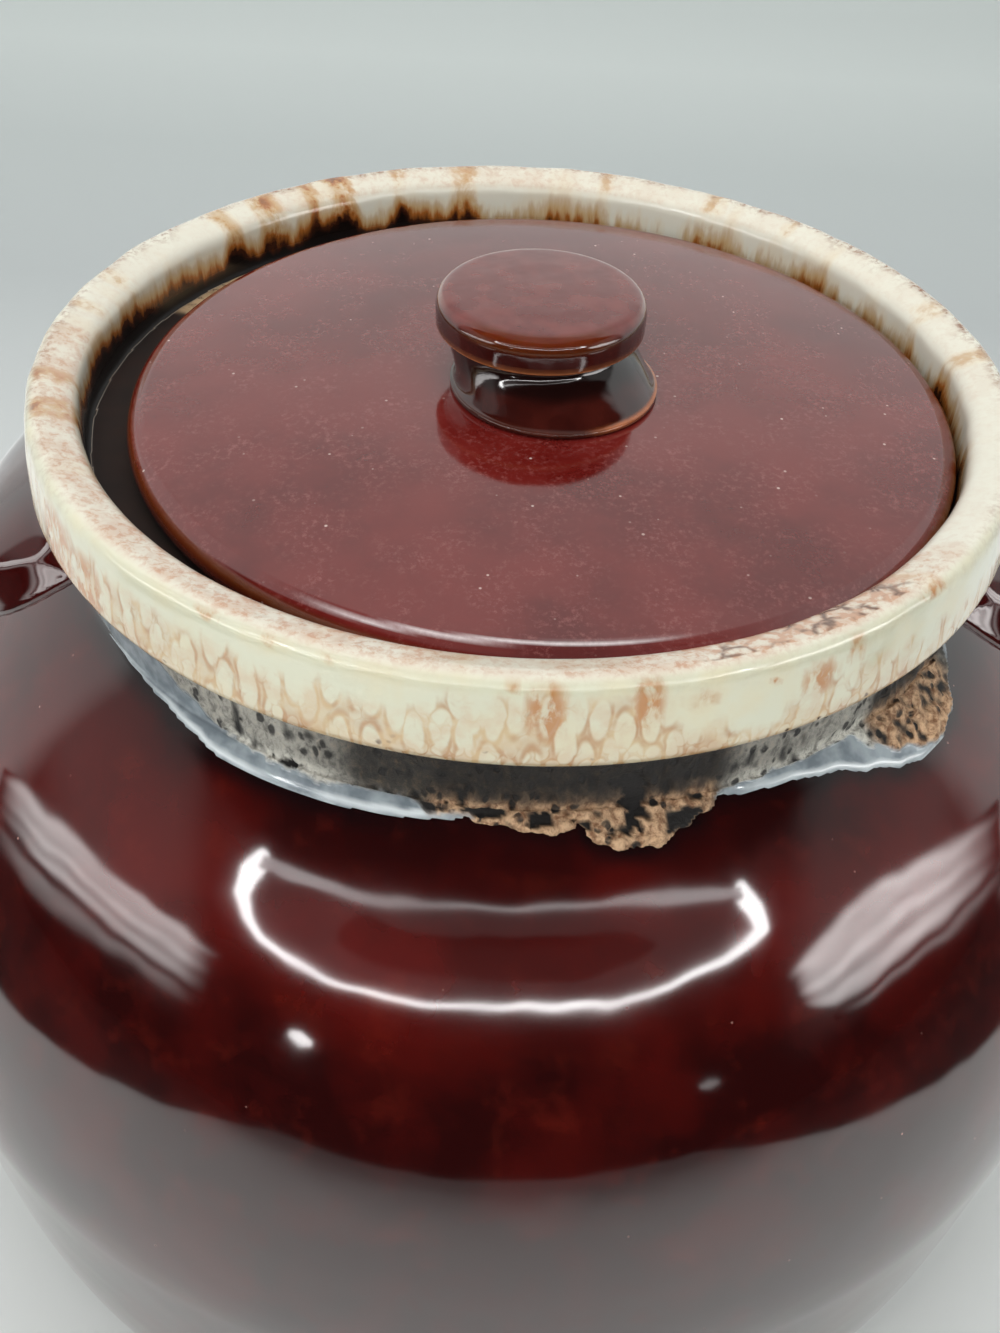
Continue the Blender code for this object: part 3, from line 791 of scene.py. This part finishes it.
# A near-white line painted along the front edge: a painted highlight.
lid_colour = (spot_on.read("crest") * (0.4 + 0.7 * fine)).clamp().mix(lid_colour, tone(232, 220, 220))
lid_colour = spot_on.read("seat").mix(lid_colour, BUFF_CLAY)
finish(shader, {"Base Color": lid_colour,
                "Roughness": spot_on.read("seat") * 0.6 + fine * 0.06 + 0.05,
                "Normal": (spot_on.clouds(0.02, 2) * 0.7 + fine * 0.03).relief(0.25, 0.0006)})
lid.data.materials.append(lid_glaze)
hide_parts("lid_disc")
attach(lid, "lid")


# The knob was thrown as a flat button on a short waist and luted to the middle of the lid.
# The glaze ran off its top edge, where the clay shows orange brown with a pale thread.
KNOB_RADIUS = 0.0161
KNOB_HEIGHT = 0.0136
KNOB_UNDER = 0.0078
KNOB_WAIST = 0.0144
KNOB_FLARE = 0.0161
KNOB_LEAN = Vector((0.0026, -0.0040, 0))
KNOB_STEPS = 192
FLARE_STEPS = 20
knob_middle = (LID_MIDDLE[0] - 0.0012, LID_MIDDLE[1], LID_MIDDLE[2] + lid_height(0) + 0.0003)
knob_top = [(0.0, KNOB_HEIGHT), (KNOB_RADIUS / 2, KNOB_HEIGHT - 0.00015)]
knob_rim = rounded([knob_top[1], (KNOB_RADIUS, KNOB_HEIGHT - 0.0006), (KNOB_RADIUS, KNOB_UNDER),
                    (KNOB_WAIST, KNOB_UNDER - 0.0006)], {1: 0.0040, 2: 0.0006}, 12)[1:-1]
knob_waist = [(KNOB_WAIST, KNOB_UNDER - 0.0008)]
for step in range(FLARE_STEPS + 1):
    angle = math.pi / 2 * step / FLARE_STEPS
    flare = KNOB_WAIST + (KNOB_FLARE - KNOB_WAIST) * (1 - math.cos(angle))
    knob_waist.append((flare, 0.0007 + 0.006 * (1 - math.sin(angle))))
knob_line = evenly(knob_top + knob_rim + knob_waist + [(KNOB_FLARE, 0.0), (0.0, 0.0)], 0.0008)
knob = turned("knob_button", knob_line, KNOB_STEPS, knob_middle)


def facing(point, degrees, wide):
    """1 on the side of the knob that faces a direction, easing to 0 at wide degrees from it."""
    return ramp(abs(turn_from(point - Vector(knob_middle), degrees)), wide, wide * 0.6)


def knob_marks(point):
    """The crown, the pale line (a painted reflection), the thin glaze at its edge, the thread, the painted
    shade under the disc and the foot.
    """
    reach = math.hypot(point.x - knob_middle[0], point.y - knob_middle[1])
    height = point.z - knob_middle[2]
    behind = 1 - facing(point, -90, 95)
    in_front = facing(point, -90, 52)
    to_right = 0.05 + 0.95 * facing(point, -8, 68)
    return {"line": ramp(abs(reach - 0.0155), 0.0006, 0.0001) * ramp(height, 0.0095, 0.0105) * behind,
            "thin": ramp(reach, 0.0136, 0.0146) * ramp(height, 0.0104, 0.0112) * in_front,
            "thread": ramp(reach, 0.0155, 0.0159) * ramp(abs(height - KNOB_UNDER), 0.0006, 0.0001),
            "crown": ramp(height, 0.0112, 0.0124),
            "foot": ramp(reach, 0.0154, 0.0159) * ramp(height, 0.0014, 0.0006) * to_right,
            "groove": ramp(reach, 0.0156, 0.0150) * ramp(abs(height - 0.0058), 0.0028, 0.0012)}


paint(knob, [knob_marks(vertex.co) for vertex in knob.data.vertices])
# The waist was luted on leaning a little to the front
for vertex in knob.data.vertices:
    vertex.co += KNOB_LEAN * ramp(knob_middle[2] + 0.0072 - vertex.co.z, 0.0, 0.0068)
knob_glaze, shader, spot_on = fired("knob_oxblood")
fine = spot_on.clouds(0.0011, 4, 0.7)
knob_colour = spot_on.clouds(0.008, 3).over(0.3, 0.7).mix(tone(44, 10, 7), tone(64, 20, 14))
crown_colour = spot_on.clouds(0.004, 4).over(0.35, 0.70).mix(tone(94, 24, 20), tone(112, 42, 36))
knob_colour = spot_on.read("crown").mix(knob_colour, crown_colour)
knob_colour = (spot_on.read("thin") * (0.1 + 1.1 * fine)).clamp().mix(knob_colour, tone(92, 40, 8))
# A pale line painted along the top edge on all but the front: a painted reflection.
knob_colour = (spot_on.read("line") * (0.3 + 0.6 * fine)).clamp().mix(knob_colour, tone(164, 140, 130))
# The waist under the disc is painted nearly black: painted shade.
knob_colour = (spot_on.read("groove") * 0.9).mix(knob_colour, tone(22, 6, 5))
knob_colour = (spot_on.read("thread") * (0.4 + 0.8 * fine)).clamp().mix(knob_colour, tone(186, 118, 72))
knob_colour = (spot_on.read("foot") * (0.4 + 0.8 * fine)).clamp().mix(knob_colour, tone(180, 100, 50))
finish(shader, {"Base Color": knob_colour, "Roughness": fine * 0.08 + 0.04,
                "Normal": (spot_on.clouds(0.006, 2) + fine * 0.05).relief(0.25, 0.0005)})
knob.data.materials.append(knob_glaze)
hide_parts("lid_knob")
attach(knob, "lid")


# The pot stands on a pale matt board that sweeps up behind it as a backdrop. The glaze mirrors only the part
# of it near the pot as pale. The board's colour is painted darker in a band behind the pot and lighter up the
# sweep, as painted shading. For reflections it gives off a painted glow that fades out close round the pot as a
# painted shadow, and past its sides and far in front it is painted dark.
FLOOR_FRONT, FLOOR_BACK, FLOOR_SIDE, SWEEP = -1.3, 0.9, 1.6, 0.5
BACKDROP_TOP = 2.2
SWEEP_STEPS = 12
side_line = [(FLOOR_FRONT, 0), (FLOOR_BACK, 0)]
for step in range(1, SWEEP_STEPS + 1):
    angle = math.pi / 2 * step / SWEEP_STEPS
    side_line.append((FLOOR_BACK + SWEEP * math.sin(angle), SWEEP * (1 - math.cos(angle))))
side_line.append((FLOOR_BACK + SWEEP, BACKDROP_TOP))
shape = bmesh.new()
ends = [shape.verts.new((-FLOOR_SIDE, y, z)) for y, z in side_line]
edges = [shape.edges.new(pair) for pair in zip(ends, ends[1:])]
swept = bmesh.ops.extrude_edge_only(shape, edges=edges)["geom"]
far_ends = [part for part in swept if isinstance(part, bmesh.types.BMVert)]
bmesh.ops.translate(shape, verts=far_ends, vec=(2 * FLOOR_SIDE, 0, 0))
bmesh.ops.recalc_face_normals(shape, faces=shape.faces)
board = piece_from("pale_board", shape)
paper, shader, on_board = blank("pale_board")
steady(shader, {"Roughness": 0.9, "Specular IOR Level": 0.1, "Emission Strength": 1.0})
glossy = Tap(paper.node_tree.nodes.new("ShaderNodeLightPath").outputs["Is Glossy Ray"])
aside, along = on_board.part(0), on_board.part(1)
aside = aside.node("Math", {"operation": "ABSOLUTE"}, {0: aside})
from_pot = on_board.place("LENGTH", {}, 1)
# In reflections the board is painted dark past its sides and far in front.
past_edge = (aside + along * 0.3).over(0.33, 0.35) * (1 - along.over(-0.08, -0.02))
far_off = (1 - along.over(-1.0, -0.24)) * 0.72
dimmed = past_edge.maths("MAXIMUM", past_edge, far_off) * glossy
share_back = along * 0.5 + 0.5
# Painted shading: darker in a band behind the pot and lighter up the sweep.
painted_paper_shading = share_back.node("ValToRGB", {"stops": [
    (0.50, tone(216, 218, 216)), (0.58, tone(212, 214, 213)), (0.69, tone(189, 193, 193)),
    (0.78, tone(196, 201, 200)), (0.87, tone(214, 219, 217))]}, {"Fac": share_back})
# Painted glow that only reflections see, fading out close round the pot as a painted shadow.
glow = glossy * from_pot.over(0.10, 0.26) * 0.42 * (1 - dimmed)
finish(shader, {"Base Color": dimmed.mix(painted_paper_shading, (0.03, 0.03, 0.03, 1)),
                "Emission Color": glow.mix((0, 0, 0, 1), (1, 1, 1, 1))})
board.data.materials.append(paper)

# The studio is an even pale room with two soft lamps. The glaze mirrors its backdrop, dim ceiling and walls,
# and the frame lamp, small lamps and striped side panels below.
world = bpy.data.worlds.new("studio")
scene.world = world
world.use_nodes = True
tree = world.node_tree
background = tree.nodes["Background"]
direction = Tap(tree.nodes.new("ShaderNodeTexCoord").outputs["Generated"])
mirrored = Tap(tree.nodes.new("ShaderNodeLightPath").outputs["Is Glossy Ray"])
sideways, back, rise = [direction.part(axis) for axis in range(3)]
sideways = sideways.node("Math", {"operation": "ABSOLUTE"}, {0: sideways})
below_ceiling = 1 - rise.over(0.54, 0.60)
backdrop = back.over(-0.02, 0.14) * (1 - rise.over(0.75, 0.95) * 0.7)
ceiling_band = rise.over(0.36, 0.42) * below_ceiling * 0.08
side_walls = sideways.over(0.70, 0.84) * rise.over(0.02, 0.24) * below_ceiling * 0.35
front = ceiling_band.maths("MAXIMUM", ceiling_band, side_walls)
front = front.maths("MAXIMUM", front, rise.over(0.88, 0.98) * 0.25)
seen = front.maths("MAXIMUM", front, backdrop * 0.95) + 0.015
room = 0.5 + mirrored * (seen - 0.5)
steady(background, {"Strength": 1.0})
finish(background, {"Color": room.mix((0, 0, 0, 1), (0.96, 1.0, 0.99, 1))})


def lamp(name, width, height, power, at, look_at):
    """Soft rectangular lamp that the glaze doesn't mirror."""
    data = bpy.data.lights.new(name, "AREA")
    data.shape = "RECTANGLE"
    data.size = width
    data.size_y = height
    data.energy = power
    light = bpy.data.objects.new(name, data)
    light.location = at
    light.rotation_euler = (Vector(look_at) - Vector(at)).to_track_quat("-Z", "Y").to_euler()
    light.visible_camera = False
    light.visible_glossy = False
    scene.collection.objects.link(light)


lamp("overhead", 0.9, 0.9, 9, (-0.1, 0.1, 1.4), (0, 0, 0.1))
lamp("front_fill", 0.8, 0.5, 5, (-0.6, -0.9, 0.9), (0, 0, 0.15))

# What the pot's shoulder mirrors is placed by where its highlight shows, across and down the camera's frame.
# The frame lamp is a D of light tube, and each of its points also has a share of the tube's thickness.
FRAME_LAMP_HEIGHT = 0.5
FAR_SIDE = (
    (262, 858, 1.7), (247, 872, 1.9), (240, 890, 1.9), (246, 915, 1.6), (260, 937, 1.2), (300, 965, 1.0),
    (347, 987, 1.0), (400, 1000, 1.0), (447, 1007, 1.0), (513, 1011, 1.0), (560, 1010, 1.0),
    (607, 1006, 1.0), (650, 994, 1.0), (687, 977, 1.1), (725, 957, 1.2), (747, 940, 1.5), (760, 925, 1.8),
    (756, 908, 1.8), (740, 890, 1.5))
NEAR_SIDE = (
    (262, 858, 1.5), (290, 872, 2.4), (347, 893, 1.8), (430, 905, 0.7), (513, 909, 0.6), (600, 906, 0.8),
    (673, 897, 2.0), (714, 893, 1.6), (740, 890, 1.0))
shoulder_reach = wall_reach(BELLY_RADIUS, BELLY_HEIGHT, neck_foot, SHOULDER_FULLNESS)


def swell(point):
    """Over 1 outside the shoulder's curve and under 1 inside it."""
    return ((math.hypot(point.x, point.y) / BELLY_RADIUS) ** SHOULDER_FULLNESS
            + abs((point.z - BELLY_HEIGHT) / shoulder_reach) ** SHOULDER_FULLNESS)


def lit_from(across, down, axis, distance):
    """Where a light has to be, that far along an axis, for the shoulder to mirror it at a spot of the frame."""
    ray = ahead * FOCAL_LENGTH + side * (across - FRAME_WIDTH / 2) + top * (FRAME_HEIGHT / 2 - down)
    ray.normalize()
    point = viewpoint.copy()
    step = 0.001
    while step > 0.000001:
        while swell(point) > 1:
            point += ray * step
        point -= ray * step
        step /= 2
    radius = math.hypot(point.x, point.y)
    outwards = (radius / BELLY_RADIUS) ** (SHOULDER_FULLNESS - 1) / BELLY_RADIUS / radius
    upwards = ((point.z - BELLY_HEIGHT) / shoulder_reach) ** (SHOULDER_FULLNESS - 1) / shoulder_reach
    mirrored = ray.reflect(Vector((point.x * outwards, point.y * outwards, upwards)))
    return point + mirrored * (distance - point[axis]) / mirrored[axis]


def frame_lamp_line(spots):
    """The frame lamp's points over those spots of the frame, each with its share of the thickness."""
    return [(*lit_from(across, down, 2, FRAME_LAMP_HEIGHT), width) for across, down, width in spots]


def glowing(name, colour, strength):
    """Black material that gives off light, as blank gives it."""
    material, shader, place = blank(name)
    steady(shader, {"Base Color": (0, 0, 0, 1), "Emission Color": colour, "Emission Strength": strength})
    return material, shader, place


def hang(light, material, lights_up):
    """Hangs a glowing piece that the camera doesn't see. Without lights_up, only the glaze mirrors it."""
    light.data.materials.append(material)
    light.visible_camera = False
    light.visible_diffuse = lights_up


def tube(name, points, thick, strength):
    """Light tube through the points, each with its share of the thickness."""
    data = bpy.data.curves.new(name, "CURVE")
    data.dimensions = "3D"
    data.bevel_depth = thick
    data.bevel_resolution = 3
    line = data.splines.new("POLY")
    line.points.add(len(points) - 1)
    for held, (x, y, z, width) in zip(line.points, points):
        held.co = (x, y, z, 1)
        held.radius = width
    light = bpy.data.objects.new(name, data)
    scene.collection.objects.link(light)
    hang(light, glowing(name, (1, 1, 1, 1), strength)[0], True)


far_line = frame_lamp_line(FAR_SIDE)
near_line = frame_lamp_line(NEAR_SIDE)
tube("frame_lamp_far", far_line, 0.012, 18)
tube("frame_lamp_near", near_line, 0.006, 4)


def small_tube(name, across, down, away, half, thick, strength):
    """Short light tube, half to each side of its middle and thinner at its ends, that shows at that spot."""
    middle = lit_from(across, down, 1, away)
    tube(name, [(*(middle + Vector(half) * end), 1 - abs(end) / 2) for end in (-1, 0, 1)], thick, strength)


small_tube("small_lamp_left", 300, 1043, -0.948, (0.032, 0, -0.003), 0.022, 14)
small_tube("small_lamp_right", 711, 1082, -0.915, (0.031, 0, 0.002), 0.012, 2.2)

# A milky shade fills the frame lamp, all but an oval in its middle
SHADE_MIDDLE = Vector((0.01, -0.63, FRAME_LAMP_HEIGHT))
OVAL = Vector((0.55, 0.45, 1.0))
shape = bmesh.new()
outer, inner = [], []
for *where, width in far_line + near_line[-2:0:-1]:
    point = Vector(where)
    outer.append(shape.verts.new(point))
    inner.append(shape.verts.new(SHADE_MIDDLE + (point - SHADE_MIDDLE) * OVAL))
for index in range(len(outer)):
    shape.faces.new((outer[index - 1], outer[index], inner[index], inner[index - 1]))
bmesh.ops.recalc_face_normals(shape, faces=shape.faces)
shade = piece_from("frame_lamp_shade", shape)
hang(shade, glowing("frame_lamp_shade", (1, 0.95, 0.95, 1), 0.26)[0], False)

PANEL_AWAY = 0.8
PANEL_GLOW = 10


def side_panel(name, away, low, high, stripes, brightness=1.0, columns=36):
    """Upright light panel at that distance to the side, between two edges given by where they show.

    Its stripes are (height, glow) pairs from the low edge, 0, to the high edge, 1, and fade at both ends.
    """
    edges = [[lit_from(*spot, 0, away) for spot in edge] for edge in (low, high)]
    shape = bmesh.new()
    rows = [[] for stripe in stripes]
    glows = []
    for column in range(columns + 1):
        share = column / columns
        ends = []
        for edge in edges:
            at = share * (len(edge) - 1)
            first = min(int(at), len(edge) - 2)
            ends.append(edge[first].lerp(edge[first + 1], at - first))
        for row, (height, glow) in zip(rows, stripes):
            row.append(shape.verts.new(ends[0].lerp(ends[1], height)))
            streak = 1 + 0.30 * noise.noise(Vector((share * 5, height * 6, 0)))
            streak += 0.15 * noise.noise(Vector((share * 14, height * 12, 4)))
            slant = share + 0.10 * noise.noise(Vector((height * 7, 2, 9)))
            glow = glow * streak * ramp(slant, 0.0, 0.34) * ramp(slant, 1.0, 0.84)
            glows.append({"glow": glow * brightness / PANEL_GLOW})
    for lower, upper in zip(rows, rows[1:]):
        for index in range(columns):
            shape.faces.new((lower[index], lower[index + 1], upper[index + 1], upper[index]))
    panel = piece_from(name, shape)
    paint(panel, glows)
    material, shader, place = glowing(name, (1, 1, 1, 1), PANEL_GLOW)
    finish(shader, {"Emission Color": place.read("glow").mix((0, 0, 0, 1), (1, 0.97, 0.96, 1))})
    hang(panel, material, False)


STRIPES = (
    (0.0, 0.0), (0.05, 2.6), (0.12, 4.8), (0.20, 4.4), (0.27, 2.6), (0.36, 3.0), (0.42, 5.2), (0.50, 5.4),
    (0.58, 3.6), (0.68, 4.4), (0.78, 5.2), (0.86, 5.6), (0.92, 3.0), (1.0, 0.0))
LOW_STRIPE = ((0.0, 0.0), (0.3, 0.9), (0.6, 1.7), (0.8, 1.8), (0.92, 0.8), (1.0, 0.0))
LEFT_LOW = ((-6, 805), (25, 847), (50, 873), (100, 920), (150, 960), (205, 997))
LEFT_HIGH = ((2, 768), (20, 780), (67, 826), (129, 881), (187, 923), (221, 957))
LOWER_LEFT_LOW = ((-14, 830), (17, 877), (67, 927), (133, 970), (202, 1014))
LOWER_LEFT_HIGH = ((-9, 808), (28, 857), (80, 908), (140, 957), (207, 1002))
RIGHT_LOW = ((998, 858), (967, 900), (933, 933), (887, 970), (838, 1005), (807, 1010))
RIGHT_HIGH = ((998, 800), (949, 835), (877, 877), (843, 908), (808, 950), (785, 978))
LOWER_RIGHT_LOW = ((1013, 865), (970, 918), (933, 953), (883, 993), (835, 1020))
LOWER_RIGHT_HIGH = ((1004, 855), (969, 903), (935, 937), (889, 974), (833, 1013))
side_panel("left_panel", -PANEL_AWAY, LEFT_LOW, LEFT_HIGH, STRIPES, 0.95)
side_panel("left_panel_low", -PANEL_AWAY, LOWER_LEFT_LOW, LOWER_LEFT_HIGH, LOW_STRIPE)
side_panel("right_panel", PANEL_AWAY, RIGHT_LOW, RIGHT_HIGH, STRIPES, 1.25)
side_panel("right_panel_low", PANEL_AWAY, LOWER_RIGHT_LOW, LOWER_RIGHT_HIGH, LOW_STRIPE)
